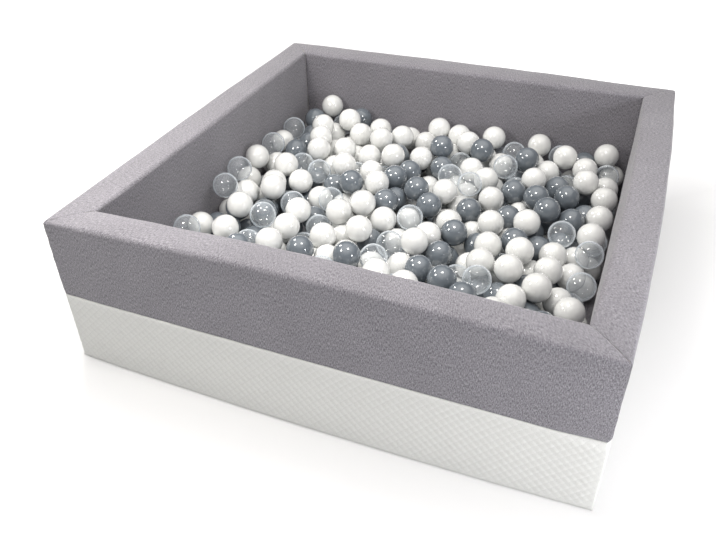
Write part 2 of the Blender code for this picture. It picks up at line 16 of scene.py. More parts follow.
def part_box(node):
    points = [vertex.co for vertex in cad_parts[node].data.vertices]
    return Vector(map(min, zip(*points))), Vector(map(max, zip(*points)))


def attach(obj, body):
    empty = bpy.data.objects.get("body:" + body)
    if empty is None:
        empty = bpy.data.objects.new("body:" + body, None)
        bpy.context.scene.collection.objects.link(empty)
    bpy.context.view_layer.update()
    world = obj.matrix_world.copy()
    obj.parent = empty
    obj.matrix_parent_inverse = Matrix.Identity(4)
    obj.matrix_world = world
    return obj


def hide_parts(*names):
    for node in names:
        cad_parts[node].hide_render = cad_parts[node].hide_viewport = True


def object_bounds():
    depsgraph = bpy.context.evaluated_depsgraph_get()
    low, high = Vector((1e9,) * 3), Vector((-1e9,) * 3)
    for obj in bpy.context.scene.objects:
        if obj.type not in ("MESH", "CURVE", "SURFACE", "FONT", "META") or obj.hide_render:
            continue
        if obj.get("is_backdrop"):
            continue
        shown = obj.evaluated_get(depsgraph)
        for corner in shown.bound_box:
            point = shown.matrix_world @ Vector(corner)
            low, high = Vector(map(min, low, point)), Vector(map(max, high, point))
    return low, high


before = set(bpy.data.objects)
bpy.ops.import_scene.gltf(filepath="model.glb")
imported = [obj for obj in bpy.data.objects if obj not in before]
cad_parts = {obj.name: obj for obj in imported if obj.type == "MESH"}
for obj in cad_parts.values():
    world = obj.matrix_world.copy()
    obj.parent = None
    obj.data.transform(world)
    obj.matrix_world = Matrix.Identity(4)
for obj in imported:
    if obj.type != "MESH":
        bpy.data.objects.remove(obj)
cad_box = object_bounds()

# %% [markdown]
# The pit's own sizes, in metres. They are the ones that the solids were made with, so that the cloth
# follows the foam and the balls lie where the heap has them. Two are the cloth's own: its rim is a little
# sharper than the solids', and each corner is drawn in by an amount of its own.

# %% Sizes of the pit
pit_side = 1.200
pit_height = 0.380
wall_thickness = 0.080
seam_height = 0.186
fit_gap = 0.0003
cover_cloth = 0.0030
floor_foam = 0.0400
rim_radius = 0.009
corner_radius = 0.006
pinch_length = 0.110
hem_radius = 0.0050
hem_return = 0.045
front_rim_lean = -0.008
side_rim_lean = 0.014
front_inner_lean = -0.009
back_inner_lean = -0.010
left_inner_lean = -0.008
base_swell = 0.012
corner_tucks = (0.0010, 0.0050, 0.0020, 0.0020)
seam_band = 0.022
rim_crown = 0.005
rim_arch = 0.0025
zip_end_room = 0.090
zip_length = pit_side - 2 * zip_end_room
zip_mouth = 0.0110
ball_diameter = 0.070
WALLS = ("front", "right", "back", "left")
BACK = 2
top_room = pit_height - seam_height - seam_band
bottom_room = seam_height - seam_band
inner_half = pit_side / 2 - wall_thickness
floor_top = cover_cloth + fit_gap + floor_foam + fit_gap + cover_cloth
ball_radius = ball_diameter / 2
print("pit", pit_side, "m square,", pit_height, "m high")

# %% [markdown]
# The camera stands where the photographer stood: in front of the pit, a little to its right, and looking
# down at it by about 36 degrees. Its place was found by laying the pit's edges over the picture.

# %% Camera
eye = bpy.data.cameras.new("camera")
eye.sensor_width = 36.0
eye.lens = 36.58
camera = bpy.data.objects.new("camera", eye)
camera.location = (0.529, -1.547, 1.193)
camera.rotation_euler = (math.radians(53.94), math.radians(0.95), math.radians(22.37))
bpy.context.scene.collection.objects.link(camera)
bpy.context.scene.camera = camera
bpy.context.scene.view_settings.view_transform = "Standard"
bpy.context.view_layer.update()
print("camera at", tuple(round(c, 3) for c in camera.location))

# %% [markdown]
# The light is that of a white studio. A bright ceiling makes the rim pale and leaves the upright faces in
# a soft half shade. Seven round lamps stand about the pit. The nearer ones show as small sparks on every
# ball, which is what tells the eye that the plastic is glossy. The low ones keep the white band bright on
# all sides. The floor is plain paper that glows, more so away from the pit, so that only a soft shadow is
# left at its foot. Where the camera looks past the floor it sees plain white.

# %% Light and floor
def add_step(tree, kind, inputs=None, **settings):
    """Add a node to a tree. Inputs are values or other nodes' sockets, by name or number."""
    node = tree.nodes.new(kind)
    for key, value in settings.items():
        setattr(node, key, value)
    for key, value in (inputs or {}).items():
        if isinstance(value, bpy.types.NodeSocket):
            tree.links.new(value, node.inputs[key])
        else:
            node.inputs[key].default_value = value
    return node


sky_strength = 1.6
sky_starts = 0.42
SKY_LOW_TONE, SKY_HIGH_TONE = (0.93, 0.94, 1.0), (1.0, 0.975, 0.945)


def set_inputs(node, values):
    """Set plain values on a node's inputs, by name."""
    for name, value in values.items():
        node.inputs[name].default_value = value


def ramp_of(tree, source, start, end):
    """A colour ramp between two stops, each a position and a colour."""
    ramp = add_step(tree, "ShaderNodeValToRGB", {0: source})
    for stop, (place, colour) in zip(ramp.color_ramp.elements, (start, end)):
        stop.position = place
        stop.color = (*colour, 1)
    return ramp.outputs[0]


def light_sky():
    """A studio dome: bright overhead, dark towards the horizon, and plain white where the camera looks past."""
    sky = bpy.data.worlds.new("studio")
    bpy.context.scene.world = sky
    sky.use_nodes = True
    tree = sky.node_tree
    place = add_step(tree, "ShaderNodeTexCoord")
    rise = add_step(tree, "ShaderNodeVectorMath", {0: place.outputs["Generated"], 1: Vector((0, 0, 1))},
                    operation="DOT_PRODUCT")
    strength = add_step(tree, "ShaderNodeMapRange", {0: rise.outputs["Value"], 1: sky_starts, 4: sky_strength},
                        interpolation_type="SMOOTHSTEP")
    tone = ramp_of(tree, rise.outputs["Value"], (0.0, SKY_LOW_TONE), (1.0, SKY_HIGH_TONE))
    back = tree.nodes["Background"]
    tree.links.new(tone, back.inputs["Color"])
    tree.links.new(strength.outputs[0], back.inputs["Strength"])
    paper = add_step(tree, "ShaderNodeBackground", {"Color": (1.0, 1.0, 1.0, 1.0), "Strength": 1.0})
    seen = add_step(tree, "ShaderNodeLightPath")
    both = add_step(
        tree, "ShaderNodeMixShader", {0: seen.outputs["Is Camera Ray"], 1: back.outputs[0], 2: paper.outputs[0]})
    tree.links.new(both.outputs[0], tree.nodes["World Output"].inputs["Surface"])


def add_lamp(name, direction, distance, size, watts, tone):
    """A round lamp that looks at the pit from this direction and distance."""
    light = bpy.data.lights.new(name, "AREA")
    light.shape = "DISK"
    light.size = size
    light.energy = watts
    light.color = tone
    lamp = bpy.data.objects.new(name, light)
    way = Vector(direction).normalized()
    lamp.location = Vector((0.0, 0.0, lamp_aim_height)) + way * distance
    lamp.rotation_euler = way.to_track_quat("Z", "Y").to_euler()
    bpy.context.scene.collection.objects.link(lamp)


light_sky()
warm_tone, cool_tone = (1.0, 0.97, 0.93), (0.97, 0.97, 1.0)
lamp_aim_height = 0.2

# Each lamp's name, way from the pit, distance, width, watts and tone
LAMPS = (
    ("lamp_over", (-0.62, -0.60, 0.78), 1.18, 0.20, 5.9, warm_tone),
    ("lamp_back_left", (-0.75, 0.25, 0.60), 1.8, 0.40, 9.6, warm_tone),
    ("lamp_corner", (0.84, -0.42, 0.34), 1.75, 0.26, 7.7, cool_tone),
    ("lamp_low", (0.73, -0.67, 0.10), 1.85, 0.5, 5.4, cool_tone),
    ("lamp_top", (0.17, -0.19, 1.0), 1.1, 0.30, 4.8, warm_tone),
    ("lamp_low_left", (-0.98, 0.12, 0.14), 2.0, 0.5, 5.0, cool_tone),
    ("lamp_low_back", (0.15, 0.97, 0.14), 2.0, 0.5, 6.0, cool_tone),
)
for lamp in LAMPS:
    add_lamp(*lamp)

floor_half = 9.0
floor_drop = 0.0006

# How strongly the floor glows, at these distances from the pit's middle lines
foot_glow, near_glow, far_glow = (0.60, 0.15), (0.90, 0.39), (2.4, 0.67)


def glowing_paper():
    """Plain paper; its glow grows in two straight stretches with the distance from the pit."""
    finish = bpy.data.materials.new("studio_paper")
    finish.use_nodes = True
    tree = finish.node_tree
    paper = tree.nodes["Principled BSDF"]
    set_inputs(paper, {"Base Color": (0.62, 0.62, 0.62, 1), "Roughness": 0.9, "Emission Color": (1, 1, 1, 1)})
    spot = add_step(tree, "ShaderNodeTexCoord")
    sides = add_step(tree, "ShaderNodeVectorMath", {0: spot.outputs["Object"]}, operation="ABSOLUTE")
    split = add_step(tree, "ShaderNodeSeparateXYZ", {0: sides.outputs[0]})
    away = add_step(tree, "ShaderNodeMath", {0: split.outputs["X"], 1: split.outputs["Y"]}, operation="MAXIMUM")
    near = add_step(tree, "ShaderNodeMapRange", {
        0: away.outputs[0], 1: foot_glow[0], 2: near_glow[0], 3: foot_glow[1], 4: near_glow[1]})
    far = add_step(tree, "ShaderNodeMapRange", {
        0: away.outputs[0], 1: near_glow[0], 2: far_glow[0], 3: 0.0, 4: far_glow[1] - near_glow[1]})
    glow = add_step(tree, "ShaderNodeMath", {0: near.outputs[0], 1: far.outputs[0]})
    tree.links.new(glow.outputs[0], paper.inputs["Emission Strength"])
    return finish


floor_mesh = bpy.data.meshes.new("studio_floor")
corners = [(-floor_half, -floor_half), (floor_half, -floor_half), (floor_half, floor_half), (-floor_half, floor_half)]
floor_mesh.from_pydata([(x, y, -floor_drop) for x, y in corners], [], [(0, 1, 2, 3)])
floor_mesh.materials.append(glowing_paper())
floor = bpy.data.objects.new("studio_floor", floor_mesh)
bpy.context.scene.collection.objects.link(floor)
floor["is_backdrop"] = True

# %% [markdown]
# Heather cloth is woven from yarns of mixed light and dark fibres. From a step away it looks grey with a
# fine grain that runs with the yarns. The cloth's own map holds metres along the wall and across it, so a
# noise that is squeezed one way and stretched the other gives streaks along the warp, and a second, coarser
# one gives the slubs of the weft. A small bump at the pitch of the weave catches the light, and a sheen
# makes the cloth paler where it is seen from the side.

# %% Heather cloth
def new_finish(name):
    finish = bpy.data.materials.new(name)
    finish.use_nodes = True
    tree = finish.node_tree
    return finish, tree, tree.nodes["Principled BSDF"]


def streaks(tree, place, scale, detail=2.0):
    """Noise drawn out along one way of the cloth; scale is the count of grains in a metre, each way."""
    sized = add_step(tree, "ShaderNodeMapping", {"Vector": place, "Scale": (*scale, 1.0)})
    grain = add_step(tree, "ShaderNodeTexNoise", {"Vector": sized.outputs[0], "Scale": 1.0, "Detail": detail})
    return grain.outputs["Fac"]


def blend_of(tree, first, second, share, mode="MIX"):
    """Two colours or numbers mixed as colours."""
    mixed = add_step(tree, "ShaderNodeMix", data_type="RGBA", blend_type=mode)
    for key, value in ((0, share), (6, first), (7, second)):
        if isinstance(value, bpy.types.NodeSocket):
            tree.links.new(value, mixed.inputs[key])
        else:
            mixed.inputs[key].default_value = value
    return mixed.outputs[2]


def weave_height(tree, place, pitch):
    """Over and under of a plain weave, as a height from 0 to 1."""
    split = add_step(tree, "ShaderNodeSeparateXYZ", {0: place})
    waves = []
    for way in ("X", "Y"):
        turn = add_step(tree, "ShaderNodeMath", {0: split.outputs[way], 1: math.pi / pitch}, operation="MULTIPLY")
        waves.append(add_step(tree, "ShaderNodeMath", {0: turn.outputs[0]}, operation="SINE").outputs[0])
    both = add_step(tree, "ShaderNodeMath", {0: waves[0], 1: waves[1]}, operation="MULTIPLY")
    return add_step(tree, "ShaderNodeMath", {0: both.outputs[0], 1: 0.5, 2: 0.5}, operation="MULTIPLY_ADD").outputs[0]


def heather_cloth(name, dark, light, pitch=0.0011):
    finish, tree, shader = new_finish(name)
    place = add_step(tree, "ShaderNodeUVMap", uv_map="cloth").outputs[0]
    warp = streaks(tree, place, (820.0, 150.0))
    weft = streaks(tree, place, (430.0, 480.0))
    cloudy = streaks(tree, place, (9.0, 7.0))
    yarns = ramp_of(tree, blend_of(tree, warp, weft, 0.42), (0.38, dark), (0.64, light))
    tint = add_step(tree, "ShaderNodeMapRange", {0: cloudy, 1: 0.3, 2: 0.7, 3: 0.94, 4: 1.05})
    shade = blend_of(tree, yarns, tint.outputs[0], 1.0, "MULTIPLY")
    tree.links.new(shade, shader.inputs["Base Color"])
    height = blend_of(tree, weave_height(tree, place, pitch), warp, 0.45)
    bump = add_step(tree, "ShaderNodeBump", {"Strength": 0.45, "Distance": 0.0006, "Height": height})
    tree.links.new(bump.outputs[0], shader.inputs["Normal"])
    set_inputs(shader, {"Roughness": 0.92, "Sheen Weight": 0.40, "Sheen Roughness": 0.45, "Specular IOR Level": 0.25})
    return finish


grey_cloth = heather_cloth("grey_heather", (0.106, 0.0995, 0.120), (0.386, 0.374, 0.398))
print("cloth:", grey_cloth.name)

# %% [markdown]
# A stuffed wall is never a plain box. It leans, its rim is crowned, and it is drawn in at the corners where
# the seams hold it. One function gives a point of the wall from its place along the wall, its depth from
# the outer face and its height, and everything that covers the wall is laid on that function.

# %% Shape of a stuffed wall
def smooth_step(share):
    share = min(max(share, 0.0), 1.0)
    return share * share * (3 - 2 * share)


def rim_leans(wall):
    """How far the rim's outer and inner edges lean outwards at mid-wall."""
    outer = (front_rim_lean, side_rim_lean, 0.0, 0.0)[wall]
    inner = (front_inner_lean, side_rim_lean, back_inner_lean, left_inner_lean)[wall]
    return outer, inner


def wall_point(wall, along, depth, height):
    """A world point of a wall: along is -1 to 1 between its corners."""
    outer_lean, inner_lean = rim_leans(wall)
    belly = 1 - along * along
    inward = min(max(depth / wall_thickness, 0.0), 1.0)
    rise = smooth_step(max(height - seam_height - seam_band, 0.0) / top_room)
    push = belly * rise * (outer_lean * (1 - inward) + inner_lean * inward)
    push += base_swell * belly * smooth_step(max(bottom_room - height, 0.0) / bottom_room) * (1 - inward)
    near_seam = smooth_step(1 - abs(height - seam_height) / seam_band)
    near_corner = smooth_step(1 - (1 - abs(along)) * pit_side / 2 / pinch_length)
    tuck = corner_tucks[(wall + (along > 0)) % 4]
    push -= tuck * near_seam * near_corner * (1 - inward)
    lift = rise * (rim_crown * belly + rim_arch * 4 * inward * (1 - inward))
    depth -= push
    reach = pit_side / 2 - depth - fit_gap / math.sqrt(2)
    point = Vector((along * reach, depth - pit_side / 2, height + lift))
    return Matrix.Rotation(math.radians(90) * wall, 3, "Z") @ point


def edge_radius(along):
    """The rim is soft along the wall and drawn to a sharper edge at the corners."""
    from_corner = (1 - abs(along)) * pit_side / 2
    return corner_radius + (rim_radius - corner_radius) * smooth_step(from_corner / pinch_length)


def places_along(fine, coarse):
    """Places from -1 to 1 along a wall, close together at the corner seams."""
    steps = [0.0]
    gap = fine
    while steps[-1] < pit_side / 2:
        steps.append(steps[-1] + gap)
        gap = min(gap * 1.16, coarse)
    half = [1 - s / steps[-1] for s in steps]
    return [-h for h in half] + half[-2::-1]


print("middle of the front rim at", tuple(round(c, 3) for c in wall_point(0, 0.0, wall_thickness / 2, pit_height)))

# %% [markdown]
# Each strip of grey cloth is one skin. It starts with a turned edge at the seam at half height, runs up the
# outside, over the rim and down the inside. Its ends are sewn to the next strips at the mitred corners. The
# skin is laid on the wall and then moved in or out by small amounts: in at the seams, where the thread pulls
# it down, in short puckers beside them, and by a slow unevenness where the foam gives.

# %% Lay a skin on a wall
edge_roll = 0.0016
zip_fold_run = 0.006
pull_reach = 0.0022
pucker_length = 0.018
pucker_reach = 0.012


def arc(centre, radius, start_degrees, end_degrees, steps):
    points = []
    for k in range(steps + 1):
        turn = math.radians(start_degrees + (end_degrees - start_degrees) * k / steps)
        points.append((centre[0] + radius * math.cos(turn), centre[1] + radius * math.sin(turn)))
    return points


def run(start, end, count):
    """Points from one to the other in this many steps, the last point left out."""
    return [tuple(a + (b - a) * k / count for a, b in zip(start, end)) for k in range(count)]


def zip_fold(wall, along):
    """How far a cover's edge stays back from the seam line: it opens over the zip on the back wall."""
    if wall != BACK:
        return 0.0
    past = abs(along) * pit_side / 2 - zip_length / 2
    return zip_mouth / 2 * smooth_step(1 - past / zip_fold_run)


def distances(path):
    """Length along a path at each of its points, and the way out of the wall there."""
    lengths, ways = [0.0], []
    for k, point in enumerate(path):
        before, after = path[max(k - 1, 0)], path[min(k + 1, len(path) - 1)]
        reach = math.dist(before, after)
        ways.append((-(after[1] - before[1]) / reach, (after[0] - before[0]) / reach))
        if k:
            lengths.append(lengths[-1] + math.dist(path[k - 1], point))
    return lengths, ways


def lay_skin(name, wall, section, offset, places):
    """A skin over a wall. Section gives its path at a place, and offset how far each point stands out."""
    points, spots = [], []
    for along in places:
        path = section(wall, along)
        lengths, ways = distances(path)
        across = along * pit_side / 2
        for (depth, height), length, way in zip(path, lengths, ways):
            out = offset(wall, along, depth, height, length, lengths[-1])
            points.append(wall_point(wall, along, depth + out * way[0], height + out * way[1]))
            spots.append((across + 3.0 * wall, length))
    count = len(points) // len(places)
    faces = []
    for row in range(len(places) - 1):
        for k in range(count - 1):
            a = row * count + k
            faces.append((a, a + count, a + count + 1, a + 1))
    mesh = bpy.data.meshes.new(name)
    mesh.from_pydata(points, [], faces)
    layer = mesh.uv_layers.new(name="cloth")
    corner_spots = np.array(spots, np.float32)[[v for face in faces for v in face]]
    layer.data.foreach_set("uv", corner_spots.ravel())
    mesh.shade_smooth()
    return mesh


def unevenness(wall, along, length, size, amount, seed):
    """Slow give of the foam under the cloth."""
    spot = Vector((along * pit_side / 2 / size, length / size, seed + wall * 7.3))
    return amount * noise.noise(spot)


def corner_seam(along, length, pull, ripple, seed):
    """The thread pulls the cloth in at a corner seam and puckers it close by."""
    away = (1 - abs(along)) * pit_side / 2
    side = 1 if along > 0 else -1
    ripples = noise.noise(Vector((length / pucker_length, side * 4.1, seed)))
    return -pull * math.exp(-away / pull_reach) + ripple * ripples * math.exp(-away / pucker_reach)


cloth_places = places_along(0.0012, 0.009)
print("skins are laid from", len(cloth_places), "sections")

# %% [markdown]
# The grey strip's path has its points closest together where it turns: at the rolled edge by the seam and
# over the two rounded edges of the rim. It lies plain on the wall where the balls hide it.

# %% Grey strips over the rim
edge_run = 0.010
hidden_below = 0.210
plain_below = 0.150
edge_fade = 0.004


def grey_section(wall, along):
    radius = edge_radius(along)
    foot = seam_height + fit_gap + zip_fold(wall, along)
    path = arc((edge_roll, foot + edge_roll), edge_roll, 270, 180, 4)
    outer_arc = arc((radius, pit_height - radius), radius, 180, 90, 9)
    inner_arc = arc((wall_thickness - radius, pit_height - radius), radius, 90, 0, 9)
    path += run((0.0, foot + edge_roll), (0.0, foot + edge_run), 4)[1:]
    path += run((0.0, foot + edge_run), outer_arc[0], 19)
    path += outer_arc
    path += run(outer_arc[-1], inner_arc[0], 7)[1:]
    path += inner_arc
    path += run(inner_arc[-1], (wall_thickness, hidden_below), 15)[1:]
    path += run((wall_thickness, hidden_below), (wall_thickness, floor_top), 6)
    path.append((wall_thickness, floor_top))
    return path


def grey_offset(wall, along, depth, height, length, total):
    if depth > wall_thickness * 0.9 and height < plain_below:
        return 0.0
    out = unevenness(wall, along, length, 0.16, 0.0016, 2.0)
    out += unevenness(wall, along, length, 0.05, 0.0005, 5.0)
    out += corner_seam(along, length, 0.0009, 0.0008, 9.0 + wall)
    near_edge = math.exp(-max(length - edge_fade, 0.0) / edge_run)
    out += 0.0010 * near_edge * noise.noise(Vector((along * pit_side / 2 / 0.016, wall * 3.7, 1.0)))
    return out * min(length / edge_fade, 1.0)


def add_piece(name, mesh, finish, nodes, body="pit"):
    """Put a finished mesh in the scene, in place of its solids."""
    mesh.materials.clear()
    mesh.materials.append(finish)
    piece = bpy.data.objects.new(name, mesh)
    bpy.context.scene.collection.objects.link(piece)
    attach(piece, body)
    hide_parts(*nodes)
    return piece


for wall, side in enumerate(WALLS):
    skin = lay_skin("grey_strip_" + side, wall, grey_section, grey_offset, cloth_places)
    add_piece("grey_strip_" + side, skin, grey_cloth, ["upper_cover_" + side])
    print("grey strip", side, len(skin.polygons), "faces")

# %% [markdown]
# The lower band is ticking, quilted in small diamonds onto thin wadding. Each diamond is a low pillow, so
# the relief is real: the skin is laid with points close enough to follow it. The stitches themselves are
# too fine for that, and the finish draws them as a broken darker line in the valleys. That darker line is
# partly the thread and partly painted shade in the creases between the pillows.

# %% Quilted band
quilt_across = 0.0200
quilt_up = 0.0195
quilt_relief = 0.0020
quilt_fades_by_corner = 0.030
hem_roll = 0.0028
hem_fold = 0.006
ground_gap = 0.0004
hem_top = 0.004
seam_welt = 0.0007


def quilt_height(across, up):
    """Relief of the quilting, 0 in its valleys and 1 on a pillow."""
    rising = math.sin(math.pi * (across / quilt_across + up / quilt_up))
    falling = math.sin(math.pi * (across / quilt_across - up / quilt_up))
    return math.sqrt(abs(rising * falling) + 0.0004)


def quilt_section(wall, along):
    top = seam_height - fit_gap - zip_fold(wall, along)
    path = [(hem_return, ground_gap), (hem_return / 2, ground_gap)]
    path += arc((hem_roll, hem_roll + ground_gap), hem_roll, 270, 180, 5)
    path += run((0.0, hem_roll + ground_gap), (0.0, top - edge_roll), 60)[1:]
    path += arc((edge_roll, top - edge_roll), edge_roll, 180, 90, 4)
    return path


def quilt_offset(wall, along, depth, height, length, total):
    if height < hem_top or depth > hem_fold:
        return 0.0
    from_top = total - length
    from_corner = (1 - abs(along)) * pit_side / 2
    relief = quilt_relief * quilt_height(along * pit_side / 2, height)
    out = relief * smooth_step(from_top / edge_run) * smooth_step((height - hem_top) / 0.008)
    out *= 0.15 + 0.85 * smooth_step(from_corner / quilt_fades_by_corner)
    out += seam_welt * math.exp(-abs(from_top - 0.006) / 0.006)
    out += unevenness(wall, along, length, 0.13, 0.0012, 12.0)
    out += corner_seam(along, length, 0.0016, 0.0006, 17.0 + wall)
    return out * min(from_top / edge_fade, 1.0) * smooth_step((height - 0.003) / 0.006)


def quilted_ticking(name):
    finish, tree, shader = new_finish(name)
    place = add_step(tree, "ShaderNodeUVMap", uv_map="quilt").outputs[0]
    split = add_step(tree, "ShaderNodeSeparateXYZ", {0: place})
    seams = []
    for sign in (1.0, -1.0):
        skew = add_step(tree, "ShaderNodeMath", {0: split.outputs["Y"], 1: sign, 2: split.outputs["X"]},
                        operation="MULTIPLY_ADD")
        wave = add_step(tree, "ShaderNodeMath", {0: skew.outputs[0], 1: math.pi}, operation="MULTIPLY")
        sine = add_step(tree, "ShaderNodeMath", {0: wave.outputs[0]}, operation="SINE")
        line = add_step(tree, "ShaderNodeMath", {0: sine.outputs[0]}, operation="ABSOLUTE")
        dash = add_step(tree, "ShaderNodeMath", {0: split.outputs["X"], 1: 2 * math.pi * 6.0}, operation="MULTIPLY")
        beat = add_step(tree, "ShaderNodeMath", {0: dash.outputs[0]}, operation="SINE")
        thread = add_step(tree, "ShaderNodeMapRange", {0: beat.outputs[0], 1: -0.6, 2: 0.2, 3: 0.10, 4: 0.03})
        seams.append(add_step(tree, "ShaderNodeMath", {0: line.outputs[0], 1: thread.outputs[0]}, operation="DIVIDE"))
    nearest = add_step(tree, "ShaderNodeMath", {0: seams[0].outputs[0], 1: seams[1].outputs[0]}, operation="MINIMUM")
    stitch_and_crease_shade = add_step(tree, "ShaderNodeMapRange", {0: nearest.outputs[0], 1: 0.0, 2: 2.2, 3: 0.0, 4: 1.0})
    cloth = add_step(tree, "ShaderNodeUVMap", uv_map="cloth").outputs[0]
    grain = streaks(tree, cloth, (420.0, 420.0), 3.0)
    # Darker along the quilting lines: partly the broken stitch thread, partly painted shade in the creases between
    # the pillows.
    base = blend_of(tree, (0.66, 0.66, 0.645, 1), (0.755, 0.76, 0.735, 1), stitch_and_crease_shade.outputs[0])
    speck = add_step(tree, "ShaderNodeMapRange", {0: grain, 1: 0.3, 2: 0.7, 3: 0.95, 4: 1.03})
    tree.links.new(blend_of(tree, base, speck.outputs[0], 1.0, "MULTIPLY"), shader.inputs["Base Color"])
    knit = blend_of(tree, weave_height(tree, cloth, 0.0012), grain, 0.5)
    height = blend_of(tree, knit, stitch_and_crease_shade.outputs[0], 0.5)
    bump = add_step(tree, "ShaderNodeBump", {"Strength": 0.4, "Distance": 0.0006, "Height": height})
    tree.links.new(bump.outputs[0], shader.inputs["Normal"])
    set_inputs(shader, {"Roughness": 0.85, "Sheen Weight": 0.15, "Specular IOR Level": 0.3})
    return finish


def map_quilt(mesh):
    """A second map that counts the quilting's own diamonds, from the point's height and place along the wall."""
    layer = mesh.uv_layers.new(name="quilt")
    source = mesh.uv_layers["cloth"]
    for loop, spot, cloth in zip(mesh.loops, layer.data, source.data):
        across = (cloth.uv.x + 0.9) % 3.0 - 0.9
        spot.uv = (across / quilt_across, mesh.vertices[loop.vertex_index].co.z / quilt_up)


white_ticking = quilted_ticking("white_ticking")
quilt_places = places_along(0.0012, 0.0034)
for wall, side in enumerate(WALLS):
    band = lay_skin("quilt_band_" + side, wall, quilt_section, quilt_offset, quilt_places)
    map_quilt(band)
    add_piece("quilt_band_" + side, band, white_ticking, ["quilted_band_" + side])
    print("quilted band", side, len(band.polygons), "faces")

# %% [markdown]
# Inside the covers are four foam blocks and a floor slab. Nobody sees them while the zip is shut, but they
# are what gives the walls their shape, so they are made too, as closed blocks a little inside the cloth.

# %% Foam
def foam_finish(name):
    finish, tree, shader = new_finish(name)
    place = add_step(tree, "ShaderNodeTexCoord").outputs["Object"]
    cells = add_step(tree, "ShaderNodeTexVoronoi", {"Vector": place, "Scale": 900.0})
    shade = ramp_of(tree, cells.outputs["Distance"], (0.0, (0.60, 0.56, 0.44)), (0.5, (0.86, 0.83, 0.72)))
    tree.links.new(shade, shader.inputs["Base Color"])
    bump = add_step(tree, "ShaderNodeBump", {
        "Strength": 0.6, "Distance": 0.0008, "Height": cells.outputs["Distance"]})
    tree.links.new(bump.outputs[0], shader.inputs["Normal"])
    shader.inputs["Roughness"].default_value = 0.95
    return finish


def foam_block(name, wall):
    """A closed block under one wall's covers, mitred at both ends."""
    inset = cover_cloth + fit_gap + 0.0004
    points, count = [], 0
    places = places_along(0.02, 0.05)
    for along in places:
        radius = edge_radius(along)
        path = arc((hem_radius, hem_radius), hem_radius - inset, 270, 180, 4)
        path += run((inset, hem_radius), (inset, seam_height - 0.006), 6)[1:]
        back = 0.0022 if wall == BACK else 0.0
        path += [(inset + back, seam_height - 0.005), (inset + back, seam_height + 0.005)]
        path += run((inset, seam_height + 0.006), (inset, pit_height - radius), 6)
        path += arc((radius, pit_height - radius), radius - inset, 180, 90, 6)
        path += arc((wall_thickness - radius, pit_height - radius), radius - inset, 90, 0, 6)
        path += run((wall_thickness - inset, pit_height - radius), (wall_thickness - inset, inset), 7)[1:]
        path.append((wall_thickness - inset, inset))
        count = len(path)
        points += [wall_point(wall, along, depth, height) for depth, height in path]
    faces = []
    for row in range(len(places) - 1):
        for k in range(count):
            a, b = row * count + k, row * count + (k + 1) % count
            faces.append((a, a + count, b + count, b))
    faces.append(tuple(range(count)))
    faces.append(tuple(range(len(points) - 1, len(points) - 1 - count, -1)))
    mesh = bpy.data.meshes.new(name)
    mesh.from_pydata(points, [], faces)
    mesh.shade_smooth()
    mesh.set_sharp_from_angle(angle=math.radians(40))
    return mesh


foam = foam_finish("upholstery_foam")
for wall, side in enumerate(WALLS):
    block = foam_block("foam_block_" + side, wall)
    add_piece("foam_block_" + side, block, foam, ["foam_wall_" + side])
print("foam blocks:", len(WALLS))


def soft_slab(name, node, step, edge, give, seed):
    """A slab with rounded edges and an uneven top, in the box of its solid."""
    low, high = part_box(node)
    count = max(2, round((high.x - low.x) / step))
    mesh = bpy.data.meshes.new(name)
    shares = [k / count for k in range(count + 1)]
    points = []
    for level in (low.z, high.z):
        for sy in shares:
            for sx in shares:
                from_edge = min(sx, 1 - sx, sy, 1 - sy) * (high.x - low.x)
                draw = 0.5 * (high.z - low.z) * (1 - smooth_step(from_edge / edge)) * 0.8
                dip = give * (0.5 + 0.5 * noise.noise(Vector((sx * 7, sy * 7, seed)))) * smooth_step(from_edge / 0.03)
                z = level + draw if level == low.z else level - draw - dip
                points.append((low.x + (high.x - low.x) * sx, low.y + (high.y - low.y) * sy, z))
    wide = count + 1
    faces = []
    for layer in (0, 1):
        for j in range(count):
            for i in range(count):
                a = layer * wide * wide + j * wide + i
                quad = (a, a + 1, a + 1 + wide, a + wide)
                faces.append(quad if layer else quad[::-1])
    ring = [i for i in range(wide)] + [j * wide + count for j in range(1, wide)]
    ring += [count * wide + i for i in range(count - 1, -1, -1)] + [j * wide for j in range(count - 1, 0, -1)]
    for k, a in enumerate(ring):
        b = ring[(k + 1) % len(ring)]
        faces.append((a, b, b + wide * wide, a + wide * wide))
    mesh.from_pydata(points, [], faces)
    layer = mesh.uv_layers.new(name="cloth")
    for loop, spot in zip(mesh.loops, layer.data):
        spot.uv = mesh.vertices[loop.vertex_index].co.xy
    mesh.shade_smooth()
    return mesh


slab = soft_slab("foam_slab", "foam_floor", 0.05, 0.004, 0.0006, 3.0)
add_piece("foam_slab", slab, foam, ["foam_floor"])

# %% [markdown]
# Two flat panels close the covers: the grey one that the balls lie on, and a plain light one underneath
# that rests on the floor. The underside is a stiff canvas with a visible plain weave.

# %% Floor and underside panels
def canvas(name, dark, light):
    finish, tree, shader = new_finish(name)
    place = add_step(tree, "ShaderNodeUVMap", uv_map="cloth").outputs[0]
    yarn = streaks(tree, place, (500.0, 60.0), 3.0)
    cross = streaks(tree, place, (60.0, 500.0), 3.0)
    yarns = ramp_of(tree, blend_of(tree, yarn, cross, 0.5), (0.35, dark), (0.65, light))
    tree.links.new(yarns, shader.inputs["Base Color"])
    bump = add_step(tree, "ShaderNodeBump", {"Strength": 0.5, "Distance": 0.0005})
    tree.links.new(weave_height(tree, place, 0.0014), bump.inputs["Height"])
    tree.links.new(bump.outputs[0], shader.inputs["Normal"])
    shader.inputs["Roughness"].default_value = 0.9
    return finish


